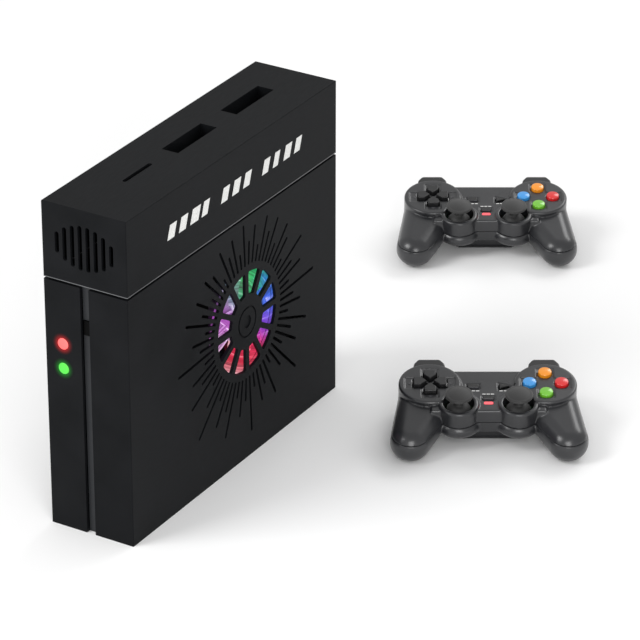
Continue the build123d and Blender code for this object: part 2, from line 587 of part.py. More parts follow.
def trigger(side):
    """The lower shoulder lever: it turns on a pin behind the shoulder button."""
    line = Polyline((15.5, -3.4), (29.5, -3.6)) + ThreePointArc((29.5, -3.6), (32.6, -12), (29.5, -24.5)) \
        + Polyline((29.5, -24.5), (25.5, -24.5), (22, -9.6), (15.5, -8.2), (15.5, -3.4))
    profile = make_face(Plane.YZ * line)
    lever = Pos(-TRIGGER_HALF, 0, 0) * extrude(profile, 2 * TRIGGER_HALF, dir=(1, 0, 0))
    lever += rod_x(2.4, -TRIGGER_HALF, TRIGGER_HALF, TRIGGER_Y, TRIGGER_Z)
    lever += rod_x(1.2, -16, 16, TRIGGER_Y, TRIGGER_Z)
    return Pos(side * POD_X, 0, 0) * lever


def stick_gimbal(side):
    """A ring that tips on pins along x and carries the stick's own pins along y."""
    ring = rod_z(8.8, -2, 2) - rod_z(6.4, -3, 3)
    ring += rod_x(0.95, 8.2, 11.8, 0, 0) + rod_x(0.95, -11.8, -8.2, 0, 0)
    ring -= rod_y(1.05, -12, 12, 0, 0)
    return Pos(side * WELL_X, WELL_Y, 0) * ring


def stick(side):
    """Thumb stick: dished cap, neck, the dome that closes the well, and the hub in the gimbal."""
    cap = rod_z(STICK_RADIUS, STICK_BOTTOM, STICK_TOP)
    cap = fillet(cap.edges().filter_by(GeomType.CIRCLE), 1.4)
    cap -= Pos(0, 0, STICK_TOP + 39.0) * Sphere(40)
    cap += rod_z(3.9, 0, STICK_BOTTOM + 1)
    dome = (Sphere(11) - Sphere(9.6)) & block(-12, 12, -12, 12, 7.1, 12)
    cap += dome
    cap += rod_z(4.0, -2.4, 3) + rod_y(0.95, -8.4, 8.4, 0, 0)
    return Pos(side * WELL_X, WELL_Y, 0) * cap


def controller():
    """Every piece of one controller, in its own frame."""
    outer, inner, tight = body(0), body(SHELL), body(SHELL + 0.5)
    floor = floor_height()
    pieces = {
        "upper_shell": upper_shell(outer, inner),
        "lower_shell": lower_shell(outer, inner, floor),
        "battery_cover": battery_cover(floor),
        "batteries": batteries(),
        "circuit_board": circuit_board(tight),
        "light_window": light_window(),
        "dpad_pivot": dpad_pivot(),
        "dpad": dpad(),
        "select_button": small_key(SELECT_AT, Rectangle(8.4, 4.6), 10.2),
        "start_button": small_key(START_AT, start_outline(), 10.2),
        "mode_button": small_key(MODE_AT, Rectangle(8.0, 4.0), 10.0),
    }
    for name, turn in (("right", 0), ("top", 90), ("left", 180), ("bottom", 270)):
        pieces["button_" + name] = face_button(turn)
    for name, side in (("left", -1), ("right", 1)):
        pieces["shoulder_" + name] = shoulder(side)
        pieces["trigger_" + name] = trigger(side)
        pieces["stick_gimbal_" + name] = stick_gimbal(side)
        pieces["stick_" + name] = stick(side)
    return pieces, floor


def main():
    os.makedirs("parts", exist_ok=True)
    for name, make in CONSOLE.items():
        export_step(make(), f"parts/{name}.step")
    pieces, floor = controller()
    print("controller rest height", round(-floor, 4))
    for prefix, (x, y) in CONTROLLER_PLACES.items():
        place = Pos(x, y, -floor) * Rot(Z=CONTROLLER_YAW) * Rot(X=REST_TILT)
        for name, piece in pieces.items():
            export_step(place * piece, f"parts/{prefix}_{name}.step")


main()
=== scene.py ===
"""A game console with a lit fan and two wireless gamepads: the looks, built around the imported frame."""
import json
import math

import bmesh
import bpy
import numpy as np
from mathutils import Matrix, Vector

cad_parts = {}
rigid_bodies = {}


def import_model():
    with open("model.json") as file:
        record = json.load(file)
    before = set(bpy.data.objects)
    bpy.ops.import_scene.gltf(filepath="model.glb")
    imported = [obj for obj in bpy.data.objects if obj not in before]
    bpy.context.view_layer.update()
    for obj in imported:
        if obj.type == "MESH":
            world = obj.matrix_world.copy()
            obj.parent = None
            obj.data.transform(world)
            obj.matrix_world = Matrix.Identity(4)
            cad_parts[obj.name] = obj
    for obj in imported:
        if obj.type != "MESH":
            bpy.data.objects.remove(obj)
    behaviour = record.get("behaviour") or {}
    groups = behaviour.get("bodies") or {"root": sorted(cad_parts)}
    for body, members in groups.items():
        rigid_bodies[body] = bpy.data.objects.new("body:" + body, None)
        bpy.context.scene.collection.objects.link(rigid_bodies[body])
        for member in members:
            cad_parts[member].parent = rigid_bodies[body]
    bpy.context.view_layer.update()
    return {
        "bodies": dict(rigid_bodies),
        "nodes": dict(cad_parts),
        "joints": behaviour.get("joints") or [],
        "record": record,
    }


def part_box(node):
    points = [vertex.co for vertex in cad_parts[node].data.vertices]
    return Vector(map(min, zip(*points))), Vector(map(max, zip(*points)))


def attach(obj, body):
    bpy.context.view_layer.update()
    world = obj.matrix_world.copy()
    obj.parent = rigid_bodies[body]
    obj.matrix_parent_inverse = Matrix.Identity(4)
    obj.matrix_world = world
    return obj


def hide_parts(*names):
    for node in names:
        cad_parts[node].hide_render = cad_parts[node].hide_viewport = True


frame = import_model()
NODES = frame["nodes"]
JOINTS = {joint["name"]: joint for joint in frame["joints"]}
GAMEPADS = [body for body in frame["bodies"] if body + "_lift" in JOINTS]
MM = 0.001

CAP_LOW, CAP_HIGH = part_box("upper_cap")
FAN_AT = Vector(JOINTS["fan_spin"]["pos_m"])


# ------------------------------------------------------------------ camera, light and floor
AZIMUTH, ELEVATION, DISTANCE = 31.0, 27.25, 3.034
LENS, SENSOR_WIDTH = 217.9, 36
CLIP_NEAR, CLIP_FAR = 0.1, 50
AIM_RIGHT, AIM_UP = 0.0952, 0.1034      # where the camera looks, from the console's base

WORLD_STRENGTH = 0.66
FLOOR_REACH = 6
AREA_LIGHTS = (                         # name, position, target, size, watts
    ("key", (-1.6, -2.2, 2.6), (0.1, 0.1, 0.1), (1.6, 1.6), 60),
    ("side", (1.0, -1.15, 0.75), (0.05, -0.1, 0.13), (0.7, 0.9), 11),
    ("back", (0.4, 2.8, 2.4), (0.1, 0.1, 0.1), (2.2, 1.0), 28),
)


def camera_axes(azimuth, elevation):
    """The camera's right, up and back directions at a viewing angle."""
    a, e = math.radians(azimuth), math.radians(elevation)
    back = Vector((math.sin(a) * math.cos(e), -math.cos(a) * math.cos(e), math.sin(e)))
    right = Vector((math.cos(a), math.sin(a), 0))
    return right, back.cross(right), back


def make_camera():
    data = bpy.data.cameras.new("camera")
    data.lens, data.sensor_width = LENS, SENSOR_WIDTH
    data.clip_start, data.clip_end = CLIP_NEAR, CLIP_FAR
    camera = bpy.data.objects.new("camera", data)
    right, up, back = camera_axes(AZIMUTH, ELEVATION)
    camera.location = right * AIM_RIGHT + up * AIM_UP + back * DISTANCE
    camera.rotation_euler = Matrix((right, up, back)).transposed().to_euler()
    bpy.context.scene.collection.objects.link(camera)
    bpy.context.scene.camera = camera


def area_light(name, position, target, size, power):
    data = bpy.data.lights.new(name, "AREA")
    data.shape, data.size, data.size_y = "RECTANGLE", size[0], size[1]
    data.energy = power
    light = bpy.data.objects.new(name, data)
    light.location = position
    light.rotation_euler = (Vector(target) - Vector(position)).to_track_quat("-Z", "Y").to_euler()
    bpy.context.scene.collection.objects.link(light)


def make_studio():
    """An even white surround, three soft lights and a plain floor."""
    scene = bpy.context.scene
    scene.view_settings.view_transform = "Standard"
    world = bpy.data.worlds.new("studio")
    world.use_nodes = True
    background = world.node_tree.nodes["Background"]
    background.inputs["Color"].default_value = (1, 1, 1, 1)
    background.inputs["Strength"].default_value = WORLD_STRENGTH
    scene.world = world
    for row in AREA_LIGHTS:
        area_light(*row)
    mesh = bpy.data.meshes.new("floor")
    corners = [(x * FLOOR_REACH, y * FLOOR_REACH, 0) for x, y in ((-1, -1), (1, -1), (1, 1), (-1, 1))]
    mesh.from_pydata(corners, [], [(0, 1, 2, 3)])
    floor = bpy.data.objects.new("floor", mesh)
    scene.collection.objects.link(floor)
    mesh.materials.append(floor_material())


# ------------------------------------------------------------------ material helpers
NOISE_LOW, NOISE_HIGH = 0.3, 0.7        # most of a noise texture's values lie between these


def add(tree, kind, inputs=None, **settings):
    """A node with its inputs set, or linked where the value is another node's output."""
    made = tree.nodes.new("ShaderNode" + kind)
    for key, value in settings.items():
        setattr(made, key, value)
    for key, value in (inputs or {}).items():
        if isinstance(value, bpy.types.NodeSocket):
            tree.links.new(value, made.inputs[key])
        else:
            made.inputs[key].default_value = value
    return made


def new_material(name, **sockets):
    """A material, its node tree and its shader, with the shader's inputs set by name."""
    material = bpy.data.materials.new(name)
    material.use_nodes = True
    tree = material.node_tree
    shader = tree.nodes["Principled BSDF"]
    for key, value in sockets.items():
        shader.inputs[key.replace("_", " ")].default_value = value
    return material, tree, shader


def place_of(tree, stretch=(1, 1, 1)):
    """Object coordinates, squeezed along each axis by stretch."""
    coordinates = add(tree, "TexCoord")
    mapping = add(tree, "Mapping", {"Vector": coordinates.outputs["Object"], "Scale": stretch})
    return mapping.outputs["Vector"]


def noise(tree, vector, scale, detail=3.0, roughness=0.5):
    made = add(tree, "TexNoise", {"Vector": vector, "Scale": scale, "Detail": detail,
                                  "Roughness": roughness})
    return made.outputs["Fac"]


def spread(tree, value, low, high):
    """A noise value, stretched so that most of it runs from low to high."""
    made = add(tree, "MapRange", {"Value": value, "From Min": NOISE_LOW, "From Max": NOISE_HIGH,
                                  "To Min": low, "To Max": high})
    return made.outputs["Result"]


def mix(tree, factor, a, b):
    """A colour between a and b, each a plain colour or another node's output."""
    made = add(tree, "Mix", data_type="RGBA")
    tree.links.new(factor, made.inputs["Factor"])
    for socket, value in ((made.inputs[6], a), (made.inputs[7], b)):
        if isinstance(value, bpy.types.NodeSocket):
            tree.links.new(value, socket)
        else:
            socket.default_value = (*value, 1)
    return made.outputs[2]


def worn_edges(tree, colour, light, amount=0.5):
    """Lightens convex edges, as handling does."""
    geometry = add(tree, "NewGeometry")
    edge = add(tree, "MapRange", {"Value": geometry.outputs["Pointiness"], "From Min": 0.51, "From Max": 0.6,
                                  "To Min": 0.0, "To Max": amount})
    return mix(tree, edge.outputs["Result"], colour, light)


def plastic(name, dark, light, rough, grain=900.0, bump=0.12, stretch=(1, 1, 1), edge=None, **sockets):
    """Moulded plastic: two tones in soft patches, uneven gloss and a fine grain."""
    material, tree, shader = new_material(name, **sockets)
    place = place_of(tree)
    patches = noise(tree, place, 28.0, 4.0)
    colour = mix(tree, spread(tree, patches, 0, 1), dark, light)
    if edge:
        colour = worn_edges(tree, colour, edge)
    tree.links.new(colour, shader.inputs["Base Color"])
    fine = noise(tree, place_of(tree, stretch), grain, 2.0)
    mixed = add(tree, "Math", {0: fine, 1: patches}, operation="ADD")
    half = add(tree, "Math", {0: mixed.outputs[0], 1: 0.5}, operation="MULTIPLY")
    tree.links.new(spread(tree, half.outputs[0], rough[0], rough[1]), shader.inputs["Roughness"])
    relief = add(tree, "Bump", {"Height": fine, "Strength": bump, "Distance": 0.0002})
    tree.links.new(relief.outputs["Normal"], shader.inputs["Normal"])
    return material


def floor_material():
    material, tree, shader = new_material("studio_floor", Specular_IOR_Level=0.1)
    tone = noise(tree, place_of(tree), 3.0, 2.0)
    tree.links.new(mix(tree, tone, (0.93, 0.93, 0.93), (0.95, 0.95, 0.95)), shader.inputs["Base Color"])
    tree.links.new(spread(tree, tone, 0.75, 0.8), shader.inputs["Roughness"])
    return material


# ------------------------------------------------------------------ materials
CASING_DARK, CASING_LIGHT = (0.0045, 0.005, 0.0058), (0.008, 0.0085, 0.0097)
CASING_SPECULAR, CASING_GRAIN = 0.07, 220.0


def casing():
    """Black casing with a fine brushed grain that runs along the console."""
    return plastic("casing", CASING_DARK, CASING_LIGHT, (0.42, 0.56), CASING_GRAIN, 0.10,
                   (9, 0.5, 14), Specular_IOR_Level=CASING_SPECULAR)


def glossy(name, dark, light):
    """Coated plastic of the face buttons."""
    return plastic(name, dark, light, (0.18, 0.28), bump=0.03, Coat_Weight=0.7, Coat_Roughness=0.06)


def metal(name, tone, rough):
    """Bare metal with fine drawn lines."""
    material, tree, shader = new_material(name, Metallic=1.0)
    place = place_of(tree, (1, 1, 12))
    lines = noise(tree, place, 260.0, 3.0)
    dark = tuple(0.8 * v for v in tone)
    tree.links.new(mix(tree, spread(tree, lines, 0, 1), dark, tone), shader.inputs["Base Color"])
    tree.links.new(spread(tree, lines, rough, rough + 0.15), shader.inputs["Roughness"])
    relief = add(tree, "Bump", {"Height": lines, "Strength": 0.1, "Distance": 0.0001})
    tree.links.new(relief.outputs["Normal"], shader.inputs["Normal"])
    return material


def board_material():
    """Solder mask with copper tracks that show through it, under a faint pale grain."""
    material, tree, shader = new_material("solder_mask", Coat_Weight=0.4, Coat_Roughness=0.2)
    place = place_of(tree)
    turned_place = add(tree, "Mapping", {"Vector": place, "Rotation": (0, 1.5708, 0)})
    tracks = add(tree, "TexBrick", {
        "Vector": turned_place.outputs["Vector"], "Scale": 160.0, "Mortar Size": 0.03,
        "Color1": (0.008, 0.05, 0.022, 1), "Color2": (0.010, 0.065, 0.03, 1),
        "Mortar": (0.03, 0.15, 0.06, 1)})
    grain = noise(tree, place, 500.0)
    colour = mix(tree, spread(tree, grain, 0, 0.25), tracks.outputs["Color"], (0.25, 0.27, 0.2))
    tree.links.new(colour, shader.inputs["Base Color"])
    tree.links.new(spread(tree, grain, 0.3, 0.45), shader.inputs["Roughness"])
    return material


def lamp_material(name, hot, rim, power):
    """A lit indicator: pale and bright in the middle, deep coloured towards its rim."""
    material, tree, shader = new_material(name, Roughness=0.3, Specular_IOR_Level=0.2)
    facing = add(tree, "LayerWeight", {"Blend": 0.4})
    mottle = noise(tree, place_of(tree), 600.0)
    glow = mix(tree, facing.outputs["Facing"], hot, rim)
    tree.links.new(mix(tree, spread(tree, mottle, 0, 0.12), glow, rim), shader.inputs["Emission Color"])
    shader.inputs["Emission Strength"].default_value = power
    dim = tuple(0.3 * v for v in rim)
    tree.links.new(mix(tree, mottle, dim, rim), shader.inputs["Base Color"])
    return material


def halo_material(name, colour, centre, inner, outer):
    """Casing that catches a lamp's light, brightest beside the lamp."""
    material, tree, shader = new_material(name, Roughness=0.5, Specular_IOR_Level=CASING_SPECULAR)
    position = add(tree, "NewGeometry").outputs["Position"]
    offset = add(tree, "VectorMath", {0: position, 1: centre}, operation="DISTANCE")
    level = add(tree, "MapRange", {"Value": offset.outputs["Value"], "From Min": inner, "From Max": outer,
                                   "To Min": 1.0, "To Max": 0.0})
    faded = add(tree, "Math", {0: level.outputs["Result"], 1: 2.2}, operation="POWER")
    grain = noise(tree, place_of(tree), CASING_GRAIN)
    shader.inputs["Emission Color"].default_value = (*colour, 1)
    strength = add(tree, "Math", {0: faded.outputs[0], 1: 0.42}, operation="MULTIPLY")
    tree.links.new(strength.outputs[0], shader.inputs["Emission Strength"])
    tree.links.new(mix(tree, grain, CASING_DARK, CASING_LIGHT), shader.inputs["Base Color"])
    return material


# The fan's light, clockwise from the top as seen from the grille side.
LIGHT_WHEEL = (
    (0.02, 0.60, 0.12), (0.02, 0.58, 0.22), (0.03, 0.20, 0.92), (0.06, 0.13, 0.95), (0.30, 0.05, 0.80),
    (0.95, 0.02, 0.10), (0.95, 0.04, 0.09), (0.95, 0.45, 0.50), (0.80, 0.68, 0.76), (0.70, 0.22, 0.72),
    (0.55, 0.09, 0.66), (0.16, 0.34, 0.36),
)
LIGHT_SHIFT = Vector((0, 0.009, -0.0055))       # the lit depth is seen through the windows at a slant
SWIRL, DRIFT, STREAKS = 70.0, 9.0, 5.0          # how the streaks wind, change outwards, and how fine they are


def wheel_light(name, power):
    """Light that changes colour round the fan's centre, broken into swirling streaks."""
    material, tree, shader = new_material(name, Roughness=0.35)
    position = add(tree, "NewGeometry").outputs["Position"]
    offset = add(tree, "VectorMath", {0: position, 1: FAN_AT + LIGHT_SHIFT}, operation="SUBTRACT")
    split = add(tree, "SeparateXYZ", {0: offset.outputs[0]})
    angle = add(tree, "Math", {0: split.outputs["Y"], 1: split.outputs["Z"]}, operation="ARCTAN2")
    turn = add(tree, "MapRange", {"Value": angle.outputs[0], "From Min": -math.pi, "From Max": math.pi})
    ramp = add(tree, "ValToRGB", {"Fac": turn.outputs["Result"]})
    fill_ramp(ramp.color_ramp)
    radius = add(tree, "VectorMath", {0: offset.outputs[0]}, operation="LENGTH")
    wound = add(tree, "Math", {0: radius.outputs["Value"], 1: SWIRL}, operation="MULTIPLY")
    drift = add(tree, "Math", {0: radius.outputs["Value"], 1: DRIFT}, operation="MULTIPLY")
    twisted = add(tree, "Math", {0: angle.outputs[0], 1: wound.outputs[0]}, operation="ADD")
    sine = add(tree, "Math", {0: twisted.outputs[0]}, operation="SINE")
    cosine = add(tree, "Math", {0: twisted.outputs[0]}, operation="COSINE")
    ring = add(tree, "CombineXYZ", {0: sine.outputs[0], 1: cosine.outputs[0], 2: drift.outputs[0]})
    fibres = noise(tree, ring.outputs[0], STREAKS, 5.0, 0.7)
    pale = mix(tree, spread(tree, fibres, -1.3, 0.7), ramp.outputs["Color"], (0.9, 0.85, 0.95))
    lit = add(tree, "VectorMath", {0: pale}, operation="SCALE")
    tree.links.new(spread(tree, fibres, -0.1, 1.7), lit.inputs["Scale"])
    tree.links.new(lit.outputs[0], shader.inputs["Emission Color"])
    shader.inputs["Emission Strength"].default_value = power
    tree.links.new(mix(tree, fibres, (0.04, 0.04, 0.045), (0.08, 0.08, 0.09)), shader.inputs["Base Color"])
    return material


def fill_ramp(ramp):
    """The wheel's colours from the bottom, clockwise, round to the bottom again."""
    count = len(LIGHT_WHEEL)
    first = count // 2
    while len(ramp.elements) < count + 1:
        ramp.elements.new(0.5)
    for i, element in enumerate(ramp.elements):
        element.position = i / count
    for i, element in enumerate(ramp.elements):
        element.color = (*LIGHT_WHEEL[(first + i) % count], 1)


def print_material(name, tone):
    """Screen-printed ink: slightly broken, flat white."""
    material, tree, shader = new_material(name)
    broken = noise(tree, place_of(tree), 1500.0)
    faded = tuple(0.75 * v for v in tone)
    tree.links.new(mix(tree, spread(tree, broken, 0, 1), faded, tone), shader.inputs["Base Color"])
    tree.links.new(spread(tree, broken, 0.4, 0.6), shader.inputs["Roughness"])
    return material


# The bounds of the shade painted on the spine in the gap under the cap.
GAP_BOTTOM, GROOVE_MIDDLE, GROOVE_HALF = 0.2064, -0.00105, 0.00385      # metres, in the console's frame


def spine_material():
    """Grey plastic, with painted shade: almost black where it lies back in the gap under the cap."""
    material = plastic("spine_plastic", (0.022, 0.0235, 0.026), (0.032, 0.034, 0.0375), (0.45, 0.6),
                       Specular_IOR_Level=0.3)
    tree = material.node_tree
    base = tree.nodes["Principled BSDF"].inputs["Base Color"]
    split = add(tree, "SeparateXYZ", {0: add(tree, "NewGeometry").outputs["Position"]})
    high = add(tree, "Math", {0: split.outputs["Z"], 1: GAP_BOTTOM}, operation="GREATER_THAN")
    across = add(tree, "Math", {0: split.outputs["X"], 1: GROOVE_MIDDLE}, operation="SUBTRACT")
    away = add(tree, "Math", {0: across.outputs[0]}, operation="ABSOLUTE")
    beside = add(tree, "Math", {0: away.outputs[0], 1: GROOVE_HALF}, operation="GREATER_THAN")
    gap_shade = add(tree, "Math", {0: high.outputs[0], 1: beside.outputs[0]}, operation="MULTIPLY")
    # Paint the spine near black in the gap under the cap, as shade.
    tree.links.new(mix(tree, gap_shade.outputs[0], base.links[0].from_socket, (0.0015,) * 3), base)
    return material


def make_materials():
    """The material of each slot in the record."""
    black, soft = (0.013, 0.0135, 0.0155), (0.020, 0.0205, 0.023)
    worn = (0.09, 0.09, 0.10)
    return {
        "casing": casing(),
        "spine": spine_material(),
        "screw_steel": metal("screw_steel", (0.42, 0.42, 0.44), 0.3),
        "circuit_board": board_material(),
        "heatsink_metal": metal("heatsink_metal", (0.6, 0.61, 0.63), 0.35),
        "socket_metal": metal("socket_metal", (0.55, 0.55, 0.57), 0.25),
        "fan_frame_plastic": plastic("fan_frame_plastic", (0.006,) * 3, (0.01,) * 3, (0.45, 0.6)),
        "fan_blade_plastic": wheel_light("lit_blades", 0.75),
        "light_ring": wheel_light("lit_ring", 0.6),
        "lamp_plastic": lamp_material("clear_lamp", (0.9, 0.9, 0.85), (0.5, 0.5, 0.48), 0.2),
        "key_plastic": plastic("key_plastic", (0.006,) * 3, (0.010,) * 3, (0.3, 0.42), 1400.0, 0.08,
                               edge=worn),
        "grip_plastic": plastic("grip_plastic", black, soft, (0.26, 0.36), 1700.0, 0.10,
                                Coat_Weight=0.35, Coat_Roughness=0.24),
        "pad_plastic": plastic("pad_plastic", (0.007,) * 3, (0.012, 0.012, 0.0135), (0.34, 0.46), 1500.0,
                               0.1),
        "stick_rubber": plastic("stick_rubber", (0.010,) * 3, (0.018,) * 3, (0.5, 0.65), 1100.0, 0.25,
                                Sheen_Weight=0.2),
        "battery_jacket": plastic("battery_jacket", (0.3, 0.31, 0.33), (0.4, 0.41, 0.43), (0.25, 0.4)),
        "light_window_plastic": lamp_material("gamepad_light", (1.0, 0.22, 0.24), (0.9, 0.03, 0.05), 1.1),
        "button_red": glossy("button_red", (0.62, 0.012, 0.014), (0.78, 0.02, 0.02)),
        "button_orange": glossy("button_orange", (0.85, 0.25, 0.006), (0.95, 0.36, 0.01)),
        "button_blue": glossy("button_blue", (0.03, 0.26, 0.66), (0.06, 0.36, 0.82)),
        "button_green": glossy("button_green", (0.13, 0.45, 0.02), (0.2, 0.58, 0.04)),
    }


def dress_cad_nodes(materials):
    """Each CAD node gets its slot's material, and the power button a blacker one, painted as the shade of its
    recess.
    """
    slot_of = {row["node"]: row["material_slot"] for row in frame["record"]["subparts"]}
    for name, node in NODES.items():
        node.data.materials.clear()
        node.data.materials.append(materials[slot_of[name]])
    # The power button is painted near black as the shade in its recessed slot.
    NODES["power_button"].data.materials[0] = plastic(
        "power_key", (0.0010,) * 3, (0.0018,) * 3, (0.5, 0.62), 1400.0, 0.08, Specular_IOR_Level=0.06)


# ------------------------------------------------------------------ mesh helpers
def new_piece(name, mesh, body, material, matrix=None, smooth=None):
    """An object from a mesh, with its material, riding on a body. smooth is the angle that stays sharp."""
    piece = bpy.data.objects.new(name, mesh)
    bpy.context.scene.collection.objects.link(piece)
    if matrix is not None:
        piece.matrix_world = matrix
    if not mesh.materials:
        mesh.materials.append(material)
    if smooth is not None:
        mesh.shade_smooth()
        mesh.set_sharp_from_angle(angle=math.radians(smooth))
    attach(piece, body)
    return piece


def mesh_of(name, points, faces, scale=1.0):
    """A mesh from points and faces, checked for stray elements."""
    mesh = bpy.data.meshes.new(name)
    mesh.from_pydata((np.asarray(points) * scale).tolist(), [], faces)
    mesh.validate()
    mesh.update()
    return mesh


def spun(name, profile, steps=64, axis="Z"):
    """A closed turned shape: profile is a list of (radius, height), from the axis back to the axis."""
    points, faces, rings = [], [], []
    for radius, height in profile:
        if radius < 1e-9:
            rings.append([len(points)])
            points.append((0, 0, height))
            continue
        rings.append(list(range(len(points), len(points) + steps)))
        for i in range(steps):
            a = 2 * math.pi * i / steps
            points.append((radius * math.cos(a), radius * math.sin(a), height))
    for low, high in zip(rings, rings[1:]):
        for i in range(steps):
            j = (i + 1) % steps
            if len(low) == 1:
                faces.append((low[0], high[j], high[i]))
            elif len(high) == 1:
                faces.append((low[i], low[j], high[0]))
            else:
                faces.append((low[i], low[j], high[j], high[i]))
    mesh = mesh_of(name, points, faces)
    quarter = math.pi / 2
    turns = {"X": Matrix.Rotation(quarter, 4, "Y"), "-Y": Matrix.Rotation(quarter, 4, "X"), "Z": Matrix()}
    mesh.transform(turns[axis])
    return mesh


def arc(centre, radius, start, stop, count=8):
    """Points of a rounded corner in a profile, angles in degrees from the radius axis."""
    angles = [math.radians(start + (stop - start) * i / count) for i in range(count + 1)]
    return [(centre[0] + radius * math.cos(a), centre[1] + radius * math.sin(a)) for a in angles]


def prism(name, outline, height, bevel=0.0):
    """An upright prism from an outline in XY, with softened edges."""
    shape = bmesh.new()
    face = shape.faces.new([shape.verts.new((x, y, 0)) for x, y in outline])
    top = bmesh.ops.extrude_face_region(shape, geom=[face])
    lifted = [v for v in top["geom"] if isinstance(v, bmesh.types.BMVert)]
    bmesh.ops.translate(shape, vec=(0, 0, height), verts=lifted)
    if bevel:
        bmesh.ops.bevel(shape, geom=list(shape.edges), offset=bevel, segments=2, affect="EDGES")
    return finished(shape, name)


def finished(shape, name):
    """The bmesh as a mesh, with its faces turned outwards."""
    bmesh.ops.recalc_face_normals(shape, faces=shape.faces)
    mesh = bpy.data.meshes.new(name)
    shape.to_mesh(mesh)
    shape.free()
    return mesh


def close_between(shape, low, high):
    """Faces between two rings of vertices."""
    for i in range(len(low)):
        j = (i + 1) % len(low)
        shape.faces.new((low[i], low[j], high[j], high[i]))


def joined(name, meshes):
    """One mesh from several."""
    shape = bmesh.new()
    for mesh in meshes:
        shape.from_mesh(mesh)
    made = bpy.data.meshes.new(name)
    shape.to_mesh(made)
    shape.free()
    return made


def moved(mesh, matrix):
    mesh.transform(matrix)
    return mesh


# ------------------------------------------------------------------ gamepad shells
# A gamepad is drawn in millimetres in its own frame: x to its right, y to its shoulder buttons, z out of its
# face. Its body is a signed distance, negative inside, which surface_net turns into a mesh.
VOXEL = 0.75                    # edge of a sampling cell
WALL = 2.2                      # thickness of the shells
SPLIT, SEAM = -2.5, 0.3         # height where the halves meet, and the groove between them
POD_X, POD_RADIUS, POD_TOP, POD_BOTTOM = 45.4, 24.8, 12.0, -14.0
GRIP_X, GRIP_Y, GRIP_RADIUS, GRIP_HALF, GRIP_MIDDLE, GRIP_DROOP = 61.4, -47.7, 16.0, 13.4, -3.5, 6.0
WELL_X, WELL_Y, WELL_RADIUS, WELL_TOP, WELL_OPENING = 23.4, -23.6, 16.0, 11.0, 12.2
BOWL_RADIUS, BOWL_TOP = 18.4, -2.0
BRIDGE_Y0, BRIDGE_Y1, BRIDGE_TOP, BRIDGE_BOTTOM = -31.9, 19.4, 9.0, -12.0
CASE_HALF, CASE_BACK, CASE_FRONT, CASE_ROOF = 26.5, -15.0, 14.0, -8.0
TILT = 10.0                     # how far the face leans towards the player at rest
FLOOR = -31.26                  # the table, seen in the resting attitude
PIVOT_Z = 2.2                   # height of the direction pad's pivot
KEY_HALF, KEY_TIP, KEY_REACH, KEY_GAP = 4.7, 2.6, 13.0, 0.85
FACE_REACH, FACE_HOLE = 12.6, 5.85
SELECT_AT, START_AT, MODE_AT, LIGHT_AT = (-11.4, -0.7), (13.6, -0.7), (0.0, -15.3), (0.0, -21.6)
SELECT_SIZE, MODE_SIZE, LIGHT_HALF = (8.4, 4.6), (8.0, 4.0), (3.7, 1.35)
GRIP_ROUNDING = 12.6
START_REACH, START_HALF = 4.3, 3.0      # half the length and half the width of the start key's triangle
RECESS_ARMS, RECESS_DEPTH = ((20, 7), (6.8, 18.5)), 0.6     # the cross sunk in a pod's top: half sizes
SHOULDER_SLOT, TRIGGER_SLOT, TRIGGER_HOUSING = 13.7, 14.2, 16.4         # half widths
ABOVE = 20.0                            # a height over the whole gamepad, for cuts that are open at the top


def smooth_union(a, b, radius):
    """Both shapes as one, with the crease between them filled."""
    h = np.clip(0.5 + 0.5 * (b - a) / radius, 0, 1)
    return b * (1 - h) + a * h - radius * h * (1 - h)


def smooth_cut(a, b, radius=0.5):
    """a without b, with the edge between them rounded."""
    return -smooth_union(-a, b, radius)


def flat_to_solid(flat, height, rounding):
    """A distance in the plane and one along the height, made into the distance of a slab with round edges."""
    a, b = flat + rounding, height + rounding
    return np.minimum(np.maximum(a, b), 0) + np.hypot(np.maximum(a, 0), np.maximum(b, 0)) - rounding


def disc(p, x, y, radius, z0, z1, rounding=0.01):
    """An upright cylinder with rounded edges."""
    flat = np.hypot(p[0] - x, p[1] - y) - radius
    return flat_to_solid(flat, np.abs(p[2] - (z0 + z1) / 2) - (z1 - z0) / 2, rounding)


def brick(p, x0, x1, y0, y1, z0, z1, rounding=0.01, corner=0.01):
    """A box: corner rounds its upright edges, rounding the others."""
    ax = np.abs(p[0] - (x0 + x1) / 2) - (x1 - x0) / 2 + corner
    ay = np.abs(p[1] - (y0 + y1) / 2) - (y1 - y0) / 2 + corner
    flat = np.minimum(np.maximum(ax, ay), 0) + np.hypot(np.maximum(ax, 0), np.maximum(ay, 0)) - corner
    return flat_to_solid(flat, np.abs(p[2] - (z0 + z1) / 2) - (z1 - z0) / 2, rounding)


def turned(p, degrees, x=0.0, y=0.0):
    """Points seen from a frame at (x, y) that is turned about z."""
    c, s = math.cos(math.radians(degrees)), math.sin(math.radians(degrees))
    return ((p[0] - x) * c + (p[1] - y) * s, (p[1] - y) * c - (p[0] - x) * s, p[2])


def tilted(p, degrees, z=0.0):
    """Points seen from a frame at height z that is turned about x."""
    c, s = math.cos(math.radians(degrees)), math.sin(math.radians(degrees))
    return (p[0], p[1] * c + (p[2] - z) * s, (p[2] - z) * c - p[1] * s)


def grip(p):
    """The slab round a pod and its grip's end, for the side that p[0] is positive on."""
    x, y, z = tilted(p, GRIP_DROOP, GRIP_MIDDLE)
    length = math.hypot(GRIP_X - POD_X, GRIP_Y)
    ux, uy = (GRIP_X - POD_X) / length, GRIP_Y / length
    near, far = POD_RADIUS - 0.4, GRIP_RADIUS
    along, across = (x - POD_X) * ux + y * uy, np.abs((x - POD_X) * uy - y * ux)
    slope = (near - far) / length
    rise = math.sqrt(1 - slope * slope)
    k = rise * along - slope * across
    flat = np.where(k < 0, np.hypot(across, along) - near,
                    np.where(k > rise * length, np.hypot(across, along - length) - far,
                             across * rise + along * slope - near))
    return flat_to_solid(flat, np.abs(z) - GRIP_HALF, GRIP_ROUNDING)


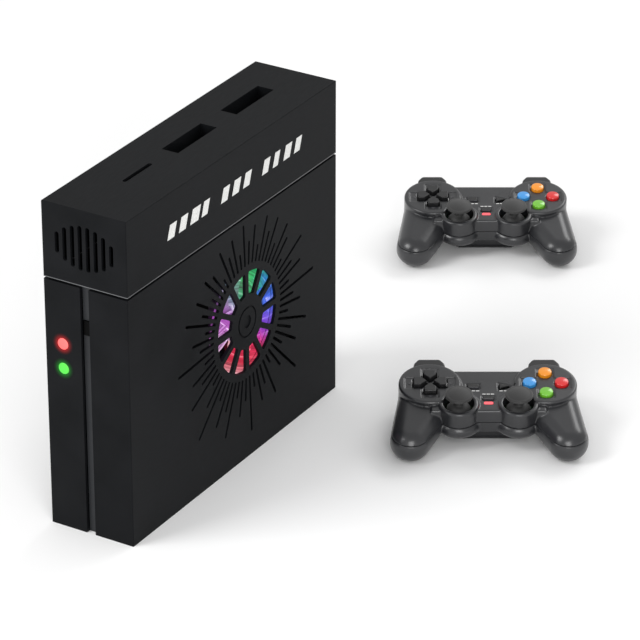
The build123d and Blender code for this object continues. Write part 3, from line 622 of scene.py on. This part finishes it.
def body(p):
    """The outside of the whole gamepad, without openings."""
    q = (np.abs(p[0]), p[1], p[2])
    d = brick(q, -POD_X, POD_X, BRIDGE_Y0, BRIDGE_Y1, BRIDGE_BOTTOM, BRIDGE_TOP, 1.6)
    d = smooth_union(d, disc(q, WELL_X, WELL_Y, BOWL_RADIUS, BRIDGE_BOTTOM - 0.6, BOWL_TOP, 5.0), 2.0)
    rest = tilted(q, -TILT)
    case = brick(rest, -CASE_HALF, CASE_HALF, CASE_BACK, CASE_FRONT, FLOOR + 0.1, CASE_ROOF + 3, 2.4, 4.0)
    d = smooth_union(d, case, 3.5)
    d = smooth_union(d, grip(q), 1.2)
    housing = brick(q, POD_X - TRIGGER_HOUSING, POD_X + TRIGGER_HOUSING, 6, 19.4, -25, -8, 3.0, 3.0)
    d = smooth_union(d, housing, 2.5)
    d = smooth_union(d, disc(q, POD_X, 0, POD_RADIUS, POD_BOTTOM, POD_TOP, 1.6), 0.6)
    return smooth_union(d, disc(q, WELL_X, WELL_Y, WELL_RADIUS, BRIDGE_BOTTOM, WELL_TOP, 1.8), 0.8)


def key_pocket(p, turn):
    """The hole round one key of the direction pad."""
    x, y, z = turned(p, turn, -POD_X, 0)
    half = KEY_HALF + KEY_GAP
    pointed = (np.abs(x) - (y - KEY_TIP + KEY_GAP * 1.41)) / math.sqrt(2)
    flat = np.maximum(np.maximum(np.abs(x) - half, y - KEY_REACH - KEY_GAP), pointed)
    return np.maximum(flat, np.abs(z - 12) - 7)


def triangle(p, x, y, grow, z0, z1):
    """The start key's triangle, which points right."""
    u, v = p[0] - x, np.abs(p[1] - y)
    half, length = START_HALF, 2 * START_REACH
    flat = np.maximum(-START_REACH - grow - u,
                      ((u - START_REACH) * half + v * length) / math.hypot(half, length) - grow)
    return np.maximum(flat, np.abs(p[2] - (z0 + z1) / 2) - (z1 - z0) / 2)


def upper_shell(p):
    """The shell's upper half, with its stick wells and the holes of every key."""
    d = body(p)
    d = smooth_cut(d, d + WALL, 0.01)
    q = (np.abs(p[0]), p[1], p[2])
    d = np.maximum(d, SPLIT + SEAM / 2 - p[2])
    well = disc(q, WELL_X, WELL_Y, WELL_OPENING, 0, ABOVE)
    sleeve = np.maximum(disc(q, WELL_X, WELL_Y, WELL_OPENING + 1.4, 2, WELL_TOP - 1), -well)
    d = smooth_cut(np.minimum(d, sleeve), well, 0.9)
    bottom = POD_TOP - RECESS_DEPTH
    arms = [brick(q, POD_X - a, POD_X + a, -b, b, bottom, 16, 0.01, 0.8) for a, b in RECESS_ARMS]
    cuts = [np.minimum(*arms),
            brick(q, POD_X - SHOULDER_SLOT, POD_X + SHOULDER_SLOT, 14, 40, -6, POD_TOP - WALL)]
    for turn in (0, 90, 180, 270):
        cuts.append(key_pocket(p, turn))
        cuts.append(disc(turned(p, turn, POD_X, 0), FACE_REACH, 0, FACE_HOLE, 5, ABOVE))
    for (x, y), (wide, tall) in ((SELECT_AT, SELECT_SIZE), (MODE_AT, MODE_SIZE)):
        a, b = wide / 2, tall / 2
        cuts.append(brick(p, x - a - 0.4, x + a + 0.4, y - b - 0.4, y + b + 0.4, 4, 12))
        cuts.append(brick(p, x - a - 1.5, x + a + 1.5, y - b - 1.3, y + b + 1.3,
                          BRIDGE_TOP - 0.5, 12, 0.01, 0.6))
    cuts.append(triangle(p, *START_AT, 0.5, 4, 12))
    cuts.append(triangle(p, *START_AT, 1.5, BRIDGE_TOP - 0.5, 12))
    (x, y), (a, b) = LIGHT_AT, LIGHT_HALF
    cuts.append(brick(p, x - a, x + a, y - b, y + b, 4, 12, 0.01, 1.1))
    for cut in cuts:
        d = smooth_cut(d, cut, 0.45)
    return d


def lower_shell(p):
    """The shell's lower half, open where the triggers and the battery cover go."""
    d = body(p)
    d = smooth_cut(d, d + WALL, 0.01)
    q = (np.abs(p[0]), p[1], p[2])
    d = smooth_cut(d, SPLIT - SEAM / 2 - p[2], 0.3)
    d = smooth_cut(d, brick(q, POD_X - TRIGGER_SLOT, POD_X + TRIGGER_SLOT, 13.5, 40, -22.8, 4), 0.6)
    rest = tilted(p, -TILT)
    door = brick(rest, -CASE_HALF + 3, CASE_HALF - 3, -60, 60, FLOOR - 2, FLOOR + 2.6)
    return smooth_cut(d, door, 0.4)


def sample(distance, points):
    return distance((points[:, 0], points[:, 1], points[:, 2]))


def surface_net(distance, low, high, step):
    """A mesh of the surface where distance is 0: a vertex in each cell that it crosses, pulled onto it."""
    axes = [np.arange(a, b + step, step) for a, b in zip(low, high)]
    grid = np.meshgrid(*axes, indexing="ij")
    values = distance(tuple(grid))
    inside = values < 0
    shape = np.array(values.shape) - 1
    offsets = [(i, j, k) for i in (0, 1) for j in (0, 1) for k in (0, 1)]

    def corner(array, o):
        return array[o[0]:shape[0] + o[0], o[1]:shape[1] + o[1], o[2]:shape[2] + o[2]]

    count = sum(corner(inside, o).astype(np.int8) for o in offsets)
    cells = np.argwhere((count > 0) & (count < 8))
    number = np.full(shape, -1, np.int64)
    number[tuple(cells.T)] = np.arange(len(cells))
    total, hits = np.zeros((len(cells), 3)), np.zeros(len(cells))
    for o in offsets:
        for axis in range(3):
            if o[axis]:
                continue
            other = list(o)
            other[axis] = 1
            a = values[tuple((cells + o).T)]
            b = values[tuple((cells + other).T)]
            crosses = (a < 0) != (b < 0)
            t = np.where(crosses, a / np.where(crosses, a - b, 1), 0)
            place = np.tile(np.array(o, float), (len(cells), 1))
            place[:, axis] += t
            total += place * crosses[:, None]
            hits += crosses
    points = np.array(low) + step * (cells + total / hits[:, None])
    points = pulled_onto(distance, points, step)
    quads = []
    for axis in range(3):
        u, v = (axis + 1) % 3, (axis + 2) % 3
        first = [slice(1, s) for s in shape]
        first[axis] = slice(0, shape[axis])
        second = list(first)
        second[axis] = slice(1, shape[axis] + 1)
        a, b = inside[tuple(first)], inside[tuple(second)]
        edges = np.argwhere(a != b)
        base = edges + 1
        base[:, axis] -= 1
        leaving = a[tuple(edges.T)]
        ring = []
        for du, dv in ((1, 1), (0, 1), (0, 0), (1, 0)):
            c = base.copy()
            c[:, u] -= du
            c[:, v] -= dv
            ring.append(number[tuple(c.T)])
        ring = np.stack(ring, 1)
        quads.append(np.where(leaving[:, None], ring, ring[:, ::-1]))
    return points, np.concatenate(quads)


def pulled_onto(distance, points, step):
    """Moves points along the distance's slope to where it is 0, by less than a cell."""
    tiny = 0.02
    start = points.copy()
    for _ in range(3):
        slope = np.empty_like(points)
        for axis in range(3):
            shift = np.zeros(3)
            shift[axis] = tiny
            ahead, behind = sample(distance, points + shift), sample(distance, points - shift)
            slope[:, axis] = (ahead - behind) / (2 * tiny)
        size = np.maximum((slope ** 2).sum(1), 0.2)
        points = points - slope * (sample(distance, points) / size)[:, None]
        points = start + np.clip(points - start, -0.6 * step, 0.6 * step)
    return points


# ------------------------------------------------------------------ console
def dress_console(materials):
    make_label(print_material("white_print", (0.82, 0.82, 0.80)))
    make_cap_highlight()
    make_lamps()
    make_fan(materials)


def make_label(ink):
    """Plain slanted bars, in groups, printed on the brushed side of the cap."""
    tall, slant, thick = 11.5 * MM, 4.0 * MM, 0.15 * MM
    start, pitch, level = -94.0 * MM, 15.5 * MM, 0.485
    widths = (9.2, 9.2, 11.0, 8.0, 0, 8.8, 9.2, 8.8, 0, 8.4, 7.2, 9.2, 8.2)
    middle = CAP_LOW.z + level * (CAP_HIGH.z - CAP_LOW.z)
    bars, y = [], start
    for wide in widths:
        if wide:
            w = wide * MM
            outline = [(y, -tall / 2), (y + w, -tall / 2), (y + w + slant, tall / 2), (y + slant, tall / 2)]
            bars.append(prism("bar", outline, thick, 0.05 * MM))
        y += pitch if wide else pitch * 0.75
    mesh = joined("cap_label_bars", bars)
    upright = Matrix(((0, 0, 1), (1, 0, 0), (0, 1, 0))).to_4x4()
    mesh.transform(Matrix.Translation((CAP_HIGH.x, 0, middle)) @ upright)
    new_piece("cap_label_bars", mesh, "console", ink)


def make_cap_highlight():
    """A painted highlight: the paler line where the cap's lower edge is turned under and catches the light.
    """
    # A thin paler strip, painted along the cap's lower edge as the highlight that edge catches.
    edge_highlight = plastic("cap_edge_highlight", (0.07, 0.072, 0.076), (0.11, 0.113, 0.118), (0.3, 0.42), 600.0, 0.05)
    corner, tall, sunk, proud = 0.9 * MM, 0.7 * MM, -0.8 * MM, 0.08 * MM
    shape = bmesh.new()
    rings = []
    for grow, z in ((sunk, 0), (proud, 0), (proud, tall), (sunk, tall)):
        ring = []
        for cx, cy, first in ((1, 1, 0), (-1, 1, 90), (-1, -1, 180), (1, -1, 270)):
            for i in range(5):
                a = math.radians(first + 22.5 * i)
                x = cx * (CAP_HIGH.x - corner) + (corner + grow) * math.cos(a)
                y = cy * (CAP_HIGH.y - corner) + (corner + grow) * math.sin(a)
                ring.append(shape.verts.new((x, y, CAP_LOW.z + z)))
        rings.append(ring)
    rings.append(rings[0])
    for a, b in zip(rings, rings[1:]):
        close_between(shape, a, b)
    new_piece("cap_edge_highlight", finished(shape, "cap_edge_highlight"), "console", edge_highlight)


def make_lamps():
    """Two domed lenses, lit red and green, in place of the plain lamps, and their glow on the casing."""
    low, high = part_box("indicator_lamps")
    radius, collar, flange, front, x = 4.6 * MM, 6.2 * MM, 1.4 * MM, low.y, (low.x + high.x) / 2
    barrel, top = 5.0 * MM, 5.9 * MM
    profile = [(0, 0), (collar, 0), (collar, flange), (radius, flange)]
    profile += [(radius * math.cos(a), barrel + 0.9 * MM * math.sin(a)) for a in np.linspace(0, 1.4, 8)]
    profile += [(0, top)]
    inner, outer, thick = 4.85 * MM, 9.5 * MM, 0.03 * MM
    halo = [(inner, 0), (outer, 0), (outer, thick), (inner, thick), (inner, 0)]
    for name, z, hot, rim, power in (
            ("red_lamp", high.z - collar, (1.0, 0.27, 0.25), (0.95, 0.03, 0.03), 1.05),
            ("green_lamp", low.z + collar, (0.16, 0.66, 0.10), (0.02, 0.42, 0.03), 1.0)):
        lens = lamp_material(name, hot, rim, power)
        place = Matrix.Translation((x, front + top, z))
        piece = new_piece(name, spun(name, profile, 48, "-Y"), "console", lens, place, 40)
        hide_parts("indicator_lamps")
        centre = Vector((x, CAP_LOW.y, z))
        glow = halo_material(name + "_glow", rim, centre, radius, outer)
        new_piece(name + "_glow", spun(name + "_glow", halo, 64, "-Y"), "console", glow,
                  Matrix.Translation(centre), 40)


def make_fan(materials):
    """The rotor with swept, cupped blades close behind the grille, and the lit lining of the duct."""
    low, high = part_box("fan_rotor")
    hub, tip, blades = 18.0 * MM, 42.0 * MM, 11
    back, front = low.x + 4 * MM, high.x
    depth = front - back
    profile = [(0, 0), (hub - 2 * MM, 0), (hub - 2 * MM, 1 * MM), (hub, 1 * MM)]
    profile += [(hub - 1.5 * MM + 1.5 * MM * math.cos(a), depth - 1.8 * MM + 1.5 * MM * math.sin(a))
                for a in np.linspace(0, math.pi / 2, 6)] + [(0, depth - 0.3 * MM)]
    meshes = [spun("hub", profile, 72, "X")]
    root, blade_back, blade_front = hub - 0.5 * MM, depth - 14.5 * MM, depth - 0.6 * MM
    for i in range(blades):
        blade = fan_blade(root, tip, blade_back, blade_front)
        meshes.append(moved(blade, Matrix.Rotation(2 * math.pi * i / blades, 4, "X")))
    place = Matrix.Translation((back, FAN_AT.y, FAN_AT.z))
    rotor = new_piece("fan_blades", joined("fan_blades", meshes), "fan_rotor", materials["fan_blade_plastic"],
                      place, 35)
    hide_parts("fan_rotor")
    frame_back, frame_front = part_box("fan_frame")[0].x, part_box("fan_frame")[1].x
    long, inner, outer = frame_front - frame_back - 4 * MM, 43.6 * MM, 44.1 * MM
    lining = [(inner, 0), (outer, 0), (outer, long), (inner, long), (inner, 0)]
    new_piece("fan_duct_lining", spun("fan_duct_lining", lining, 96, "X"), "console",
              wheel_light("lit_lining", 0.75),
              Matrix.Translation((frame_back + 3.5 * MM, FAN_AT.y, FAN_AT.z)), 40)


BLADE_WIDTH, BLADE_SWEEP = 41, 24       # degrees round the fan's axis


def fan_blade(inner, outer, back, front, along=14, across=7, thick=1.1 * MM):
    """One blade: it leans from back to front, and sweeps forward towards its tip."""
    shape = bmesh.new()
    rims = []
    for side in (-0.5, 0.5):
        rows = []
        for i in range(along + 1):
            t = i / along
            radius = inner + (outer - inner) * t
            width, lead = math.radians(BLADE_WIDTH - 4 * t), math.radians(BLADE_SWEEP) * t * t
            row = []
            for j in range(across + 1):
                s = j / across
                angle = lead + (s - 0.5) * width
                cup = math.sin(math.pi * s) * 1.2 * MM
                skin = side * thick * math.sin(math.pi * (0.12 + 0.76 * s))     # thinner at both edges
                x = back + (front - back) * s * 0.94 + cup + skin
                row.append(shape.verts.new((x, radius * math.sin(angle), radius * math.cos(angle))))
            rows.append(row)
        for a, b in zip(rows, rows[1:]):
            for j in range(across):
                shape.faces.new((a[j], a[j + 1], b[j + 1], b[j]))
        rims.append(rows[0] + [r[-1] for r in rows[1:]] + rows[-1][-2::-1] + [r[0] for r in rows[-2:0:-1]])
    close_between(shape, *rims)
    return finished(shape, "blade")


# ------------------------------------------------------------------ gamepads
# The face buttons and their colours, anticlockwise from the right.
FACE_BUTTONS = (("right", "red"), ("top", "orange"), ("left", "blue"), ("bottom", "green"))


def gamepad_frame(body):
    """The gamepad's own frame, read from the joints of its direction pad and its keys, in metres."""
    right = Vector(JOINTS[body + "_dpad_tip_up_down"]["axis"])
    ahead = Vector(JOINTS[body + "_dpad_tip_left_right"]["axis"])
    out = -Vector(JOINTS[body + "_mode_press"]["axis"])
    pivot = Vector(JOINTS[body + "_dpad_tip_up_down"]["pos_m"])
    origin = pivot + right * POD_X * MM - out * PIVOT_Z * MM
    turn = Matrix((right, ahead, out)).transposed().to_4x4()
    return Matrix.Translation(origin) @ turn


def shell_mesh(name, distance, low, high):
    """The surface of a signed distance, in metres. low and high are millimetres."""
    points, quads = surface_net(distance, low, high, VOXEL)
    return mesh_of(name, points, quads.tolist(), MM)


def gamepad_meshes():
    """Every mesh that both gamepads share, in the gamepad's own frame, in metres."""
    reach, ends = (79, 26.5), (-79, -66)
    return {
        "upper_shell": shell_mesh("upper_shell", upper_shell, (*ends, -4), (*reach, 14)),
        "lower_shell": shell_mesh("lower_shell", lower_shell, (*ends, -36), (*reach, -1)),
        "arrows": arrow_marks(),
        "print": printed_marks(),
        "stick": thumb_stick(),
        "button": face_button_mesh(),
    }


def arrow_marks():
    """Small raised triangles beyond the keys of the direction pad."""
    marks = []
    for turn in (0, 90, 180, 270):
        tip = prism("arrow", [(-2.1, -1.1), (2.1, -1.1), (0, 1.5)], 0.35, 0.08)
        place = Matrix.Translation((-POD_X, 0, POD_TOP - 0.7)) @ Matrix.Rotation(math.radians(turn), 4, "Z") \
            @ Matrix.Translation((0, 16.3, 0))
        marks.append(moved(tip, place))
    return moved(joined("arrows", marks), Matrix.Scale(MM, 4))


def printed_marks():
    """Plain dashes where the keys of the middle bar are marked."""
    marks = []
    a, b, pitch = 1.3, 0.55, 3.3
    for (key_x, key_y), beside in ((SELECT_AT, -5.6), (START_AT, -5.6), (MODE_AT, 4.9)):
        for i in (-1, 0, 1):
            x, y = key_x + i * pitch, key_y + beside
            dash = prism("dash", [(x - a, y - b), (x + a, y - b), (x + a, y + b), (x - a, y + b)], 0.12)
            marks.append(moved(dash, Matrix.Translation((0, 0, BRIDGE_TOP))))
    return moved(joined("print", marks), Matrix.Scale(MM, 4))


def thumb_stick():
    """Domed cap with a rolled rim, neck, and the dome that closes the well."""
    dome, crown = 10.95, 9.2
    cap = [(0, 1.5), (3.9, 1.5), (3.9, 5.05), (9.05, 5.05)]
    slants = np.linspace(math.radians(60), math.radians(24), 14)
    cap += [(dome * math.sin(a), dome * math.cos(a)) for a in slants]
    cap += [(3.9, 10.6), (3.7, 16.6), (6.5, 17.4), (9.6, 17.6)]
    cap += arc((9.9, 18.7), 1.1, -80, 75, 10)
    cap += [(9.75, 19.95), (crown, 19.85)]
    cap += [(r, 19.9 + 1.35 * (1 - (r / crown) ** 2)) for r in (8.4, 7.4, 6.2, 5, 3.8, 2.6, 1.3)]
    cap += [(0, 21.25)]
    return moved(spun("stick", cap, 72), Matrix.Scale(MM, 4))


def face_button_mesh():
    """A round key with a soft shoulder and a slightly crowned top."""
    key = [(0, 0.3), (3.3, 0.3), (3.3, 7.7), (6.4, 7.7), (6.4, 9.4), (5.4, 9.4), (5.4, 13.0)]
    key += arc((4.3, 13.1), 1.1, 0, 80, 8)
    key += [(r, 14.2 + 0.38 * (1 - (r / 4.2) ** 2)) for r in (3.8, 3.0, 2.0, 1.0)] + [(0, 14.58)]
    return moved(spun("button", key, 64), Matrix.Scale(MM, 4))


def make_gamepad(body, meshes, materials, ink):
    """The skins of one gamepad: its shells and marks, its sticks and its face buttons."""
    place = gamepad_frame(body)
    grip_finish, dark = materials["grip_plastic"], materials["key_plastic"]
    for part in ("upper_shell", "lower_shell"):
        piece = new_piece(f"{body}_{part}_skin", meshes[part], body, grip_finish, place, 50)
        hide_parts(f"{body}_{part}")
    new_piece(body + "_arrows", meshes["arrows"], body, dark, place)
    new_piece(body + "_print", meshes["print"], body, ink, place)
    for side, sign in (("left", -1), ("right", 1)):
        there = place @ Matrix.Translation((sign * WELL_X * MM, WELL_Y * MM, 0))
        stick = new_piece(f"{body}_stick_{side}_skin", meshes["stick"], f"{body}_stick_{side}",
                          materials["stick_rubber"], there, 45)
        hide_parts(f"{body}_stick_{side}")
    for turn, (name, tone) in enumerate(FACE_BUTTONS):
        a = math.radians(90 * turn)
        spot = Vector((POD_X + FACE_REACH * math.cos(a), FACE_REACH * math.sin(a), 0)) * MM
        node, slot = f"{body}_button_{name}", "button_" + tone
        key = new_piece(node + "_skin", meshes["button"].copy(), node, materials[slot],
                        place @ Matrix.Translation(spot), 45)
        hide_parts(node)


def main():
    make_camera()
    make_studio()
    materials = make_materials()
    dress_cad_nodes(materials)
    dress_console(materials)
    meshes = gamepad_meshes()
    ink = print_material("key_print", (0.7, 0.7, 0.69))
    for body in GAMEPADS:
        make_gamepad(body, meshes, materials, ink)


main()
